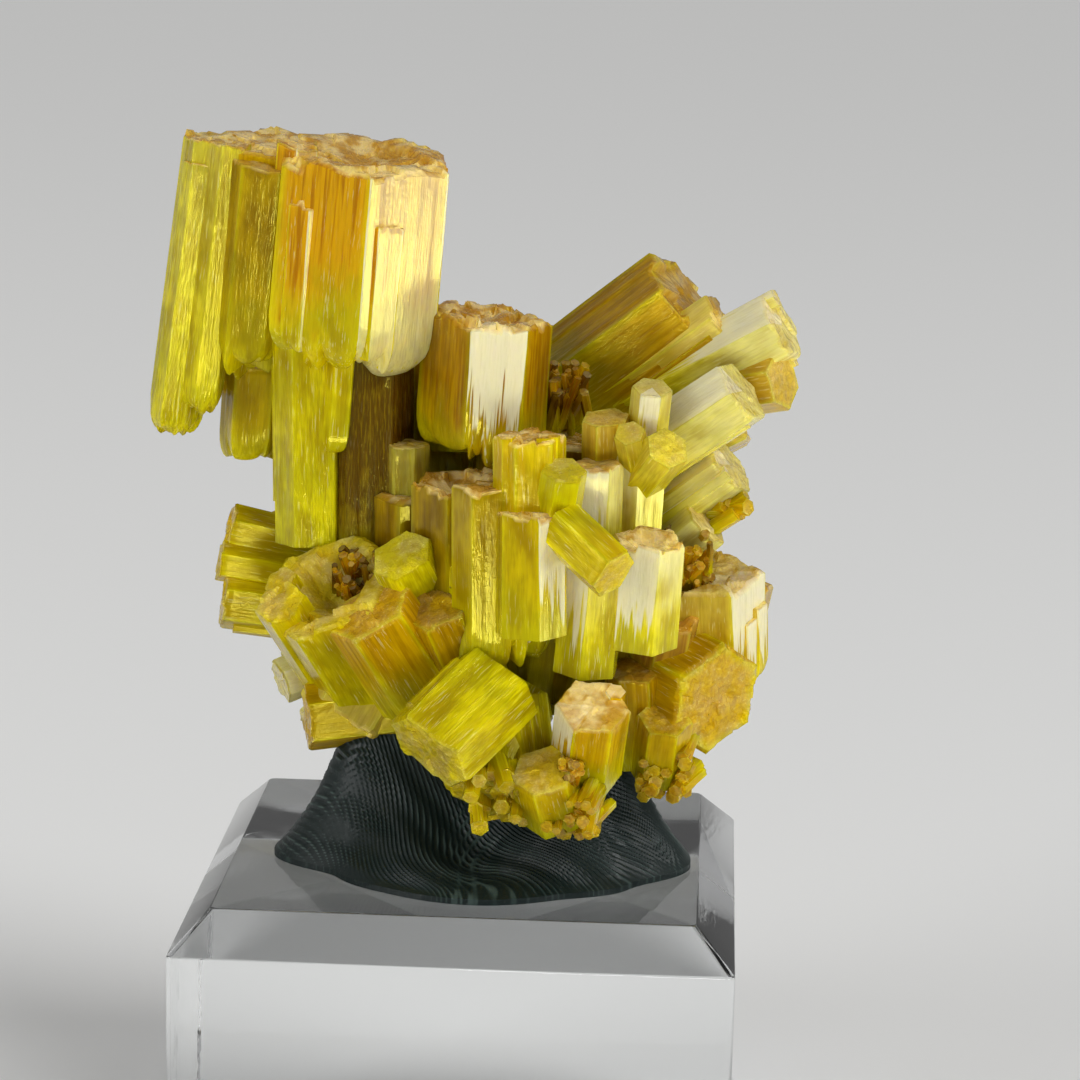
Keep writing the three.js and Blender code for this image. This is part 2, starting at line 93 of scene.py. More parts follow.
CENTRE = [
    crystal((0.6, -1.4, 51.6), 3, 2, -53, 2.8, 9.4, wide=1, root=0.9, pit=0.5, ledges=2, amber=0.8,
            dark=0.5, rough=1, grain=0.6, stria=0.25, frost=(0, -0.6, 0)),
    crystal((-6.4, 0.2, 50), 0, 0, 8, 2.3, 15, amber=0.8, dark=1.5, rough=0.4, stria=1),
    crystal((-3.9, -1.6, 43.8), 0, 2, -8, 1.1, 9, pale=0.2, dark=0.5, rough=0.5, stria=1),
    crystal((-0.7, -4, 42.4), -1, 4, 20, 2.5, 12, pit=0.8, ledges=2, amber=0.5, dark=0.7, rough=1),
    crystal((0.9, -7.2, 42.6), -1, 2, 12, 1.6, 10.8, root=0.8, amber=0.35, dark=0.4, rough=0.8),
    crystal((3.4, -7.2, 45.6), -1, 2, 10, 1.8, 11, ledges=1, amber=0.35, rough=0.9),
    crystal((3.6, -8.6, 41.6), -1, 2, -14, 1.75, 7.3, wide=0.1, ledges=1, amber=0.3, dark=0.35, rough=0.9,
            frost=(0.55, -0.35, 0)),
    crystal((4.5, -7.8, 45.6), -1, 2, 20, 0.6, 5, amber=0.2, rough=0.8),
    crystal((1.9, -6.2, 38), 0, 4, 0, 2.4, 6.2, wide=0.3, root=0.85, amber=0.1, rough=0.5,
            frost=(0.5, -0.3, 0)),
    crystal((5.5, -9.2, 43.9), 8, 25, 15, 1.15, 5, rough=0.3),
    crystal((8.5, -11.6, 38.5), 125, 35, 10, 1.3, 4.6, wide=0.1, amber=0.3, rough=0.2),
    crystal((7.2, -6, 43.8), 0, 5, 0, 1.3, 7, amber=0.1, pale=0.5, rough=0.7, frost=(0, -0.6, 0)),
    crystal((9.6, -4, 44.2), 2, 5, 30, 1.5, 8, amber=0.1, pale=0.8, rough=0.4),
    crystal((10.3, -8, 40.1), 3, 10, -12, 1.75, 6.6, wide=0.1, pit=0.4, ledges=1, amber=0.1, pale=0.7,
            rough=1, frost=(0, -0.75, 0)),
    crystal((7.3, -7.4, 38.6), 4, 6, 25, 1.7, 6.8, ledges=1, amber=0.1, pale=0.2, dark=0.1, rough=0.6,
            frost=(-0.2, -0.5, 0)),
    crystal((10.2, -5, 48), 5, 20, 0, 1, 5, amber=0.2, pale=0.3, rough=0.2, frost=(0, -0.5, 0)),
    crystal((7.6, -5, 46.2), 0, 20, 20, 0.95, 5, wide=0.3, amber=0.5, pale=0.1, rough=0.2),
    crystal((11.2, -7, 44.9), 30, 45, 0, 1.15, 5, amber=0.2, pale=0.1, rough=0.2),
    crystal((9, -6.4, 45.6), -10, 40, 10, 0.8, 4, amber=0.2, pale=0.1, rough=0.2),
]

RIGHT_FAN = [
    crystal((12.9, 3.6, 51.4), 50, 8, 0, 3.2, 11.5, wide=0.8, ledges=3, amber=0.7, dark=0.35, rough=0.9,
            crust=0.5, stria=1),
    crystal((12, 5.2, 51.8), 50, 8, 20, 1.6, 10, amber=0.8, dark=0.5, rough=0.9),
    crystal((14.2, 1.6, 51.2), 52, 10, 10, 1.5, 11, amber=0.4, pale=0.3, rough=0.7),
    crystal((17.7, 0.6, 51), 58, 14, 10, 1.9, 11, ledges=1, amber=0.1, pale=0.55, rough=0.4,
            frost=(-0.3, -0.3, 0.4)),
    crystal((17.7, -0.4, 47.9), 74, 30, 0, 1.6, 6, amber=0.5, pale=0.1, rough=0.2),
    crystal((18.2, 1.4, 49.3), 66, 10, 20, 0.9, 6, amber=0.3, pale=0.3, rough=0.4),
    crystal((15.4, -3.2, 47.7), 52, 16, 15, 1.85, 11, ledges=1, amber=0.1, pale=0.5, rough=0.3,
            frost=(-0.3, -0.36, 0.36)),
    crystal((14.9, -1.2, 43), 50, 15, 0, 1.65, 9, ledges=1, amber=0.1, pale=0.5, rough=0.4,
            frost=(-0.3, -0.36, 0.36)),
    crystal((13.6, -2, 39.8), 46, 15, 0, 1.4, 7, amber=0.1, pale=0.5, rough=0.5),
    crystal((15, 3.6, 45.6), 62, -6, 12, 2.2, 10, ledges=1, amber=0.5, pale=0.2, dark=0.1, rough=0.5),
]

LOWER_LEFT = [
    crystal((-8.3, -5.2, 36.1), -24, 34, 0, 3.5, 9.5, wide=0.3, pit=2.2, ledges=2, amber=0.2, dark=0.1,
            rough=1, crust=0.4),
    crystal((-5.6, -7.4, 35.2), -28, 26, 8, 2, 7.2, wide=0.4, ledges=1, amber=0.65, dark=0.15, rough=0.5,
            crust=0.15),
    crystal((-3.8, -6.6, 38.2), -18, 42, 20, 1.4, 8, wide=0.3, rough=0.3),
    crystal((-1.7, -7.1, 35.5), -20, 28, 8, 1.9, 6.6, ledges=1, amber=0.6, dark=0.35, rough=0.5,
            crust=0.2),
    crystal((-14.9, 2, 37.8), -75, 10, 0, 1.25, 7, amber=0.25, rough=0.6),
    crystal((-15.3, 1, 35.9), -80, 10, 0, 1.1, 8, amber=0.25, rough=0.4),
    crystal((-15.1, 1, 33.6), -82, 10, 0, 1.6, 8, ledges=1, amber=0.25, rough=0.4),
    crystal((-7.6, -3, 27.1), -150, 25, 0, 2, 6, wide=0.6, ledges=1, amber=0.3, pale=0.2, dark=0.1,
            rough=0.6),
    crystal((-9.6, -3.4, 27.6), -96, 14, 0, 1.6, 8, wide=0.2, ledges=1, amber=0.5, dark=0.3, rough=0.5),
    crystal((-11.5, 0, 28.8), -110, 25, 0, 1.2, 6, amber=0.1, pale=0.9, rough=0.4,
            frost=(-0.4, -1.2, 0.3)),
    crystal((-9.2, -2, 26.6), -130, 35, 0, 1.2, 5, amber=0.1, pale=0.9, rough=0.4,
            frost=(-0.4, -1.2, 0.3)),
]

LOWER_RIGHT = [
    crystal((13.1, -1.4, 36.8), -3, 12, 0, 3.3, 7.8, wide=0.1, root=0.6, ledges=3, amber=0.45, pale=0.1,
            dark=0.1, rough=0.8, crust=0.6, frost=(0.3, -0.5, 0)),
    crystal((11.6, -4.6, 35), 8, 22, 15, 1.6, 7, pit=0.4, amber=0.8, pale=0.1, dark=0.5, rough=1),
    crystal((14.5, -5.2, 29.9), 103, 49, 8, 3, 7.5, ledges=1, amber=0.55, dark=0.2, rough=0.5, crust=0.1,
            grain=0.45),
    crystal((15.6, 0.8, 36), 12, 5, 15, 1.9, 9, amber=0.6, pale=0.1, dark=0.3, rough=0.8),
    crystal((9.6, -5, 31.6), -4, 16, 0, 1.5, 6, amber=0.6, dark=0.3, rough=0.5),
    crystal((11.5, -6.6, 29.2), 6, 28, 0, 1.4, 4.5, ledges=1, amber=0.5, dark=0.1, rough=0.5, crust=0.2),
    crystal((7.5, -11, 30.9), 6, 35, 5, 1.85, 6, ledges=1, amber=0.6, rough=0.5, crust=0.7,
            frost=(-0.3, -0.35, 0.15)),
    crystal((4.7, -11, 27.1), -12, 35, 10, 1.7, 4, ledges=1, amber=0.35, dark=0.1, rough=0.6, crust=0.4),
    crystal((-1.7, -12.3, 28.1), -130, 42, 30, 1.9, 6.4, wide=0.7, ledges=1, amber=0.1, dark=0.15,
            rough=0.5, crust=0.1, stria=0.6),
    crystal((0.5, -9, 25.1), -150, 45, 0, 2, 7, ledges=1, amber=0.2, dark=0.1, rough=0.8, crust=0.15),
    crystal((3.4, -7.4, 23), 170, 20, 12, 2.2, 7, ledges=1, amber=0.3, dark=0.2, rough=0.8, crust=0.15),
]

BACK = [
    crystal((-3.5, 7, 49.5), -4, -14, 12, 2.4, 13, amber=0.7, dark=0.2, rough=0.8),
    crystal((3.2, 8.6, 48.2), 8, -22, -8, 2.9, 13, wide=0.3, pit=0.6, ledges=2, amber=0.7, pale=0.1,
            dark=0.1, rough=0.9),
    crystal((9.4, 9.2, 46.4), 28, -30, 18, 2.2, 12, amber=0.5, pale=0.2, rough=0.5),
    crystal((-9.8, 8, 43.4), -28, -26, 0, 2.1, 11, amber=0.5, dark=0.1, rough=0.4),
    crystal((14.6, 7.4, 40.4), 62, -24, 10, 2.3, 11, ledges=1, amber=0.3, pale=0.4, rough=0.4),
    crystal((-12.6, 6.4, 36.6), -66, -24, 8, 2, 10, amber=0.4, pale=0.1, rough=0.5),
    crystal((1.2, 12.6, 40.6), 4, -58, 0, 2.7, 11, pit=0.6, ledges=2, amber=0.6, dark=0.1, rough=1),
    crystal((8.2, 12.4, 36), 30, -68, 14, 2.2, 10, ledges=1, amber=0.4, pale=0.1, rough=0.4),
    crystal((-6.4, 11.4, 35), -30, -66, 6, 2.5, 10, ledges=1, amber=0.3, rough=0.5),
    crystal((-11.4, 5.4, 30.6), -100, -24, 0, 1.9, 9, amber=0.2, pale=0.2, rough=0.4),
    crystal((1.6, 12.2, 31.6), 10, -92, 20, 2.3, 9, amber=0.2, rough=0.5),
    crystal((13.8, 5.6, 31.4), 96, -26, 0, 2.3, 9, ledges=1, amber=0.5, pale=0.2, dark=0.1, rough=0.5),
    crystal((7.6, 9.4, 28), 140, -40, 10, 2, 8, amber=0.4, dark=0.1, rough=0.4),
    crystal((-5.4, 8.4, 27.6), -150, -34, 0, 2.2, 8, amber=0.3, dark=0.1, rough=0.5),
]

CORE = [
    crystal((-1.5, 2, 41.5), 0, 4, 8, 6, 15, root=0.7, amber=0.6, dark=0.7, rough=1),
    crystal((6, 2.4, 44.6), 6, 2, 20, 5.4, 17.5, root=0.6, amber=0.6, dark=0.7, rough=1),
    crystal((-5.3, 2.4, 37.4), -6, 4, 10, 4.6, 10, root=0.7, amber=0.6, dark=0.7, rough=1),
    crystal((9.4, 0.5, 38), 12, 6, 12, 4.8, 12, root=0.6, amber=0.6, dark=0.7, rough=1),
]
# Crusts of very small crystals: middle, direction they grow in, spread, number and size, and
# root = their length, where it takes more than the usual to reach the crystal under them
DRUSES = [
    dict(at=(6.4, -10.6, 24.2), lean=30, tilt=110, spread=1.4, count=46, size=0.32, amber=0.6, dark=0.4),
    dict(at=(11.5, -5.8, 25.6), lean=40, tilt=110, spread=1.4, count=46, size=0.34, amber=0.6, dark=0.4),
    dict(at=(15.2, -1.4, 40.8), lean=70, tilt=30, spread=0.7, count=14, size=0.38, amber=0.5, dark=0.1),
    dict(at=(12.4, -3.4, 38.0), lean=20, tilt=40, spread=1.5, count=60, size=0.26, amber=0.9, dark=0.7),
    dict(at=(5.4, -1.0, 47.6), lean=10, tilt=30, spread=1.0, count=44, size=0.25, amber=0.9, dark=0.9,
         root=3.4),
    dict(at=(-6.5, -4.1, 36.7), lean=-20, tilt=35, spread=1.3, count=80, size=0.2, amber=0.9, dark=0.9,
         root=3),
    dict(at=(2.2, -10.2, 25.0), lean=-15, tilt=112, spread=1.5, count=40, size=0.42, amber=0.3, dark=0.1),
    dict(at=(6.4, -11.2, 27.2), lean=15, tilt=70, spread=0.6, count=30, size=0.22, amber=0.9, dark=0.6),
]

GROUPS = {
    "upper_left": UPPER_LEFT,
    "centre": CENTRE,
    "right_fan": RIGHT_FAN,
    "lower_left": LOWER_LEFT,
    "lower_right": LOWER_RIGHT,
    "back": BACK,
    "core": CORE,
}

# Shape of the crystals' ends and roots. Relief is full on crystals from FULL_FLAT upwards.
END_BEVEL = 0.22
END_SCALE = 0.93
ROOT_ROUNDING = 2.2
FULL_FLAT = 2.2
PIT_EDGE = 0.7
DRUSE_FAN = 50
DRUSE_ROOT = 2.2
PLAIN_STRIA = 0.4

# Spacing of a crystal's rows along its sides and of the rings on its end, and the least angle
# in degrees of an edge that is shaded sharp
ROW_STEP = 0.4
RING_STEP = 0.2
SHARP_ANGLE = 28

# Putty mound: reach from its middle at every 30 degrees from +X, and its flared peaks
PUTTY_CENTRE = (1, -2.5)
PUTTY_REACH = (12.2, 12.0, 10.4, 9.6, 10.2, 11.6, 12.4, 9.4, 8.9, 9.0, 8.8, 10.0)
PUTTY_RIM = 0.35
PUTTY_PEAKS = (
    dict(at=(-6.4, -2.6), height=11.5, spread=4.0),
    dict(at=(9.2, -1.6), height=8.5, spread=4.2),
    dict(at=(1.5, 2.5), height=8.0, spread=5.5),
)
PUTTY_HOLLOW = dict(at=(0.6, -7.0), spread=(3.6, 4.2), depth=0.8)

# Display block, and the air under it
BEVEL_INSET = 2.2
BEVEL_DROP = 2.25
FLOOR_GAP = 0.02


def random_stream(seed):
    """Repeatable numbers from 0 to 1, the same stream that places the solid's growth steps."""
    state = seed
    while True:
        state = (state * 16807) % 2147483647
        yield state / 2147483647


def turned(spec):
    """Rotation matrix of a crystal: turn about its axis, then tilt to the front, then lean right."""
    a, b, t = (math.radians(spec[key]) for key in ("lean", "tilt", "turn"))
    about_y = np.array([[math.cos(a), 0, math.sin(a)], [0, 1, 0], [-math.sin(a), 0, math.cos(a)]])
    about_x = np.array([[1, 0, 0], [0, math.cos(b), -math.sin(b)], [0, math.sin(b), math.cos(b)]])
    about_z = np.array([[math.cos(t), -math.sin(t), 0], [math.sin(t), math.cos(t), 0], [0, 0, 1]])
    return about_y @ about_x @ about_z


def growth_steps(main, seed):
    """Thinner crystals parallel to a large one that stand a little out of its sides."""
    random = random_stream(seed)
    frame_of_main = turned(main)
    steps = []
    for _ in range(main.get("ledges", 0)):
        flat = main["flat"] * (0.26 + 0.16 * next(random))
        normal = (math.floor(6 * next(random)) + 0.5) * math.pi / 3
        along = (next(random) - 0.5) * main["flat"] * 0.7
        out = main["flat"] - flat + 0.12 + 0.22 * next(random)
        if next(random) < 0.3:
            drop = -0.35 * next(random)
        else:
            drop = 0.4 + 0.3 * main["long"] * next(random)
        x = out * math.cos(normal) - along * math.sin(normal)
        y = out * math.sin(normal) + along * math.cos(normal)
        x += math.copysign(main.get("wide", 0), x)
        tip = frame_of_main @ np.array([x, y, -drop]) + np.array(main["tip"])
        rest = (main["long"] - max(drop, 0)) * (0.75 + 0.2 * next(random))
        steps.append({**main, "tip": tip, "flat": flat, "wide": 0, "pit": 0, "long": rest})
    return steps


def druse_grains(druse, seed):
    """Very small crystals round a point, each near the druse's own direction."""
    random = random_stream(seed)
    grains = []
    for _ in range(druse["count"]):
        grains.append(dict(
            tip=[middle + druse["spread"] * (2 * next(random) - 1) for middle in druse["at"]],
            lean=druse["lean"] + DRUSE_FAN * (next(random) - 0.5),
            tilt=druse["tilt"] + DRUSE_FAN * (next(random) - 0.5),
            turn=60 * next(random),
            flat=druse["size"] * (0.6 + 0.7 * next(random)),
            long=druse.get("root", DRUSE_ROOT),
            amber=druse["amber"] * (0.6 + 0.6 * next(random)),
            dark=druse["dark"] * (0.4 + 0.9 * next(random)),
        ))
    return grains


def stepped(rng, count, mean_width):
    """A stepped line: runs of equal random values from 0 to 1, about mean_width samples long."""
    edges = rng.random(count) < 1 / max(mean_width, 1.01)
    return rng.random(count)[np.cumsum(edges) % count]


def fingers(rng, count, mean_width):
    """A stepped line whose steps end in half circles, from 0 at the longest finger to about 1."""
    edges = rng.random(count) < 1 / max(mean_width, 1.01)
    edges[0] = True
    run = np.cumsum(edges) - 1
    start = np.flatnonzero(edges)
    length = np.diff(np.append(start, count))
    across = (np.arange(count) - start[run] + 0.5) / length[run] * 2 - 1
    return 0.7 * rng.random(count)[run] + 0.3 * (1 - np.sqrt(np.clip(1 - across ** 2, 0, 1)))


def broken_face(rng, reach, cell):
    """Depth of a broken end face at any point on it, as a function of an (n, 2) array of points.

    Random sites share out the face, each point belonging to its nearest site. A site's patch is
    a tilted plane at its own level, from 0 to 1, and a slow wave runs under all the patches.
    """
    sites = rng.uniform(-reach, reach, (max(4, int((2 * reach / cell) ** 2)), 2))
    level = rng.random(len(sites)) ** 1.5
    tilt = rng.normal(size=(len(sites), 2)) * 0.22 / cell
    wave, phase = rng.normal(size=(2, 2)) * 1.3 / reach, rng.random(2) * 6.28

    def depth(points):
        apart = points[:, None, :] - sites[None]
        nearest = (apart ** 2).sum(2).argmin(1)
        plane = (apart[np.arange(len(points)), nearest] * tilt[nearest]).sum(1)
        slow = 0.5 + 0.25 * np.sin(points @ wave.T + phase).sum(1)
        return np.clip(0.55 * level[nearest] + plane + 0.45 * slow, 0, 1.1)

    return depth


def frosted_side(spec):
    """Reach of the painted cream glare on the one side that faces most in its direction, else 0, for six
    sides.
    """
    if "frost" not in spec:
        return np.zeros(6)
    angle = (np.arange(6) + 0.5) * math.pi / 3
    normals = turned(spec) @ np.array([np.cos(angle), np.sin(angle), 0 * angle])
    facing = np.array(spec["frost"]) @ normals
    return np.where(facing == facing.max(), np.linalg.norm(spec["frost"]), 0)


def grid_faces(count, columns):
    """Quads between rings of points, and a fan over each end ring to a middle added after them."""
    index = np.arange(count * columns).reshape(count, columns)
    right = np.roll(index, -1, 1)
    quads = np.stack([index[:-1], right[:-1], right[1:], index[1:]], 2).reshape(-1, 4)
    low = np.stack([np.full(columns, count * columns), right[0], index[0]], 1)
    high = np.stack([np.full(columns, count * columns + 1), index[-1], right[-1]], 1)
    return quads.tolist() + low.tolist() + high.tolist()


def crystal_surface(spec, rng, settings):
    """One hexagonal crystal as a closed grid: around its six sides by along its axis.

    Around, a point is the straight blend between two corners of the hexagon. It is moved out
    along the side's normal by fine striae, a random line across the side that is the same all
    along the axis, and by growth plateaus, stepped lines that change at a random height and so
    leave ledges. A free lower end draws in along a quarter circle, column by column, as rounded
    fingers. The end face is a set of shrinking copies of the hexagon, lowered by the depth of a
    broken face times the crystal's roughness, and by a cone where the end has a pit.
    """
    flat, wide = spec["flat"], spec.get("wide", 0)
    long, root = spec["long"], spec.get("root", 1)
    rough, pit = spec.get("rough", 0.2), spec.get("pit", 0)
    reach = flat / math.cos(math.pi / 6)
    angles = np.arange(6) * math.pi / 3
    corners = np.stack([reach * np.cos(angles), reach * np.sin(angles)], 1)
    corners[:, 0] += np.where(np.cos(angles) > 0, wide, -wide)

    per_side = int(np.clip(round((reach + wide) / settings.stria_sample), 3, 34))
    columns = 6 * per_side
    side = np.repeat(np.arange(6), per_side)
    share = np.tile(np.arange(per_side) / per_side, 6)
    base = corners[side] * (1 - share[:, None]) + corners[(side + 1) % 6] * share[:, None]
    normal_angle = (side + 0.5) * math.pi / 3
    normal = np.stack([np.cos(normal_angle), np.sin(normal_angle)], 1)
    at_edge = np.abs(2 * share - 1)
    inner = 1 - at_edge ** 10

    size = min(1, flat / FULL_FLAT)
    body_rows = int(np.clip(round(long / ROW_STEP), 5, 40))
    stria = rng.normal(size=columns)
    stria = (np.roll(stria, 1) + 2 * stria + np.roll(stria, -1)) / 4
    plateau_width = np.clip(0.9 / settings.stria_sample * size, 3, 9)
    plateau_high = stepped(rng, columns, plateau_width) - 0.5
    plateau_low = stepped(rng, columns, plateau_width) - 0.5
    switch = stepped(rng, columns, plateau_width) * 1.3 - 0.15
    relief = rough * settings.rim_drop * size
    depth = broken_face(rng, reach + wide, (0.35 + 0.32 * flat) * spec.get("grain", 1))

    top = -END_BEVEL * size - relief * depth(base)
    heights, scales = [], []
    first = np.full(columns, -long)
    if root < 1:
        lengths = -long + settings.finger_length * size * fingers(rng, columns, 7 * size + 2)
        rounding = ROOT_ROUNDING * size
        for turn in np.radians([8, 28, 48, 68]):
            heights.append(lengths + rounding * (1 - math.cos(turn)))
            scales.append(np.full(columns, root * 0.9 + (1 - root * 0.9) * math.sin(turn)))
        first = lengths + rounding
    for row in np.linspace(0, 1, body_rows):
        heights.append(first * (1 - row) + top * row)
        scales.append(np.ones(columns))
    along, scale = np.array(heights), np.array(scales)
    share_up = (along + long) / long
    blend = 1 / (1 + np.exp(-(share_up - switch) * long / 0.12))
    swell = 1 + 0.012 * np.sin(rng.random() * 6 + share_up * (2 + 3 * rng.random()))
    stria_share = spec.get("stria", PLAIN_STRIA)
    grooves = inner * size * stria_share
    out = stria * grooves * settings.stria_depth
    out = out + grooves * settings.plateau_depth * (plateau_high * blend + plateau_low * (1 - blend))
    points = base[None] * (scale * swell)[:, :, None] + normal[None] * out[:, :, None]
    ends = [np.concatenate([points, along[:, :, None]], 2)]

    rings = int(np.clip(round(flat / RING_STEP), 2, 22))
    rim = base * swell[-1][:, None] + normal * out[-1][:, None]
    for ring in np.linspace(1, 0, rings, endpoint=False):
        place = rim * ring * (1 - (1 - END_SCALE) * size)
        hollow = pit * np.clip((PIT_EDGE - ring) / PIT_EDGE, 0, 1) ** 0.7
        height = -relief * depth(place) - hollow
        ends.append(np.concatenate([place, height[:, None]], 1)[None])
    grid = np.concatenate(ends)

    count = grid.shape[0]
    middles = [[0, 0, grid[0, :, 2].mean()], [0, 0, grid[-1, :, 2].mean()]]
    local = np.concatenate([grid.reshape(-1, 3), middles])

    low = count * columns
    is_end = np.zeros(len(local))
    is_end[len(heights) * columns:] = 1
    is_end[low] = 0
    rim_share = np.repeat(np.linspace(1, 0, rings, endpoint=False), columns)
    edge = np.concatenate([np.tile(at_edge, len(heights)), rim_share, [0, 0]])
    facts = np.stack([-local[:, 2] / long, edge, is_end], 1)
    skin = np.tile([stria_share, spec.get("crust", rough), 0], (len(local), 1))
    # Third share: the painted glare, a cream highlight painted on the side that faces the lights
    skin[:low, 2] = np.tile(frosted_side(spec)[side], count)
    return local, grid_faces(count, columns), facts, skin


def mesh_of_crystals(name, specs, settings, seed):
    """Makes one object for each crystal, with its own coordinates and looks kept per corner."""
    rng = np.random.default_rng(seed)
    made = []
    for number, spec in enumerate(specs):
        local, faces, facts, skin = crystal_surface(spec, rng, settings)
        world = (local @ turned(spec).T + np.array(spec["tip"])) * MM
        mesh = bpy.data.meshes.new(f"{name}_{number}")
        mesh.from_pydata(world, [], faces)
        corner = np.empty(len(mesh.loops), np.int32)
        mesh.loops.foreach_get("vertex_index", corner)
        looks = [spec.get("amber", 0), spec.get("pale", 0), spec.get("dark", 0)]
        # The relief attribute holds the groove share, the crust share and the share of the painted cream
        # glare
        for key, values in (
            ("along_axis", local + rng.random(3) * 40),
            ("place_on_crystal", facts),
            ("looks", np.tile(looks, (len(local), 1))),
            ("relief", skin),
        ):
            layer = mesh.attributes.new(key, "FLOAT_VECTOR", "CORNER")
            layer.data.foreach_set("vector", values[corner].astype(np.float32).ravel())
        made.append(bpy.data.objects.new(mesh.name, mesh))
    return made


def fuse(name, parts):
    """Joins closed solids that overlap into one closed mesh, and shades only its flat breaks sharp."""
    first, others = parts[0], parts[1:]
    bpy.context.scene.collection.objects.link(first)
    helpers = bpy.data.collections.new(name + "_parts")
    bpy.context.scene.collection.children.link(helpers)
    for other in others:
        helpers.objects.link(other)
    union = first.modifiers.new("Union", "BOOLEAN")
    union.operation = "UNION"
    union.operand_type = "COLLECTION"
    union.collection = helpers
    union.solver = "MANIFOLD"
    graph = bpy.context.evaluated_depsgraph_get()
    mesh = bpy.data.meshes.new_from_object(first.evaluated_get(graph))
    for part in parts:
        old = part.data
        bpy.data.objects.remove(part)
        bpy.data.meshes.remove(old)
    bpy.data.collections.remove(helpers)
    return finish_piece(name, mesh)


def finish_piece(name, mesh):
    """Adds a mesh to the scene as a named object, smooth except across its sharp breaks."""
    mesh.name = name
    mesh.shade_smooth()
    mesh.set_sharp_from_angle(angle=math.radians(SHARP_ANGLE))
    piece = bpy.data.objects.new(name, mesh)
    bpy.context.scene.collection.objects.link(piece)
    return piece


def grid_mesh(name, points):
    """A closed mesh from rings of points (rings, columns, 3), with a fan over each end ring."""
    middles = [points[0].mean(0), points[-1].mean(0)]
    vertices = np.concatenate([points.reshape(-1, 3), middles]) * MM
    mesh = bpy.data.meshes.new(name)
    mesh.from_pydata(vertices, [], grid_faces(*points.shape[:2]))
    return mesh


def putty_reach(angle):
    """How far the putty reaches in a direction: a cosine blend between the listed reaches."""
    count = len(PUTTY_REACH)
    reaches = np.array(PUTTY_REACH)
    place = (angle / (2 * np.pi) * count) % count
    start = np.floor(place).astype(int) % count
    blend = (1 - np.cos(np.pi * (place - np.floor(place)))) / 2
    return reaches[start] * (1 - blend) + reaches[(start + 1) % count] * blend


def putty_height(x, y, share):
    """Flared peaks added together, pressed in at the hollow, and running out to a thin rim."""
    height = np.zeros_like(x)
    for peak in PUTTY_PEAKS:
        away = np.hypot(x - peak["at"][0], y - peak["at"][1]) / peak["spread"]
        height += peak["height"] * np.exp(-away * np.sqrt(0.6 + away * 0.4))
    middle, spread = PUTTY_HOLLOW["at"], PUTTY_HOLLOW["spread"]
    hollow = np.exp(-((x - middle[0]) / spread[0]) ** 2 - ((y - middle[1]) / spread[1]) ** 2)
    return PUTTY_RIM + height * (1 - share ** 3) * (1 - PUTTY_HOLLOW["depth"] * hollow)


def putty_ridges(x, y, z, pitch):
    """Fingerprint ridges, -1 to 1: lines that fan down the left foot and cross the right one.

    The line number is a distance divided by the pitch, bent by slow sines so that the ridges
    wander. The left distance is x widened with the fall from the top. The right one is measured
    down and to the left, so that its ridges run nearly level, dip to the right and bow a little.
    """
    wander = 0.35 * np.sin(0.55 * x + 0.4 * y) + 0.3 * np.sin(0.9 * y - 0.35 * x + 1.3)
    fan = (x + 6.4) / (1 + 0.05 * np.clip(27 - z, 0, 9)) + 0.35 * (y + 4) + wander
    arcs = 0.9 * z + 0.42 * x + 0.25 * y + 0.02 * (x - 5) ** 2 + wander
    right = 1 / (1 + np.exp(-(x - 0.5) / 0.8))
    left_wave = np.sin(2 * np.pi * fan / pitch)
    right_wave = np.sin(2 * np.pi * arcs / pitch)
    wave = left_wave * (1 - right) + right_wave * right
    broken = 0.75 + 0.25 * np.sin(1.7 * x + 2.3 * y + 1.1 * z)
    return (1 - np.abs(wave) ** 1.5 * 1.4) * broken


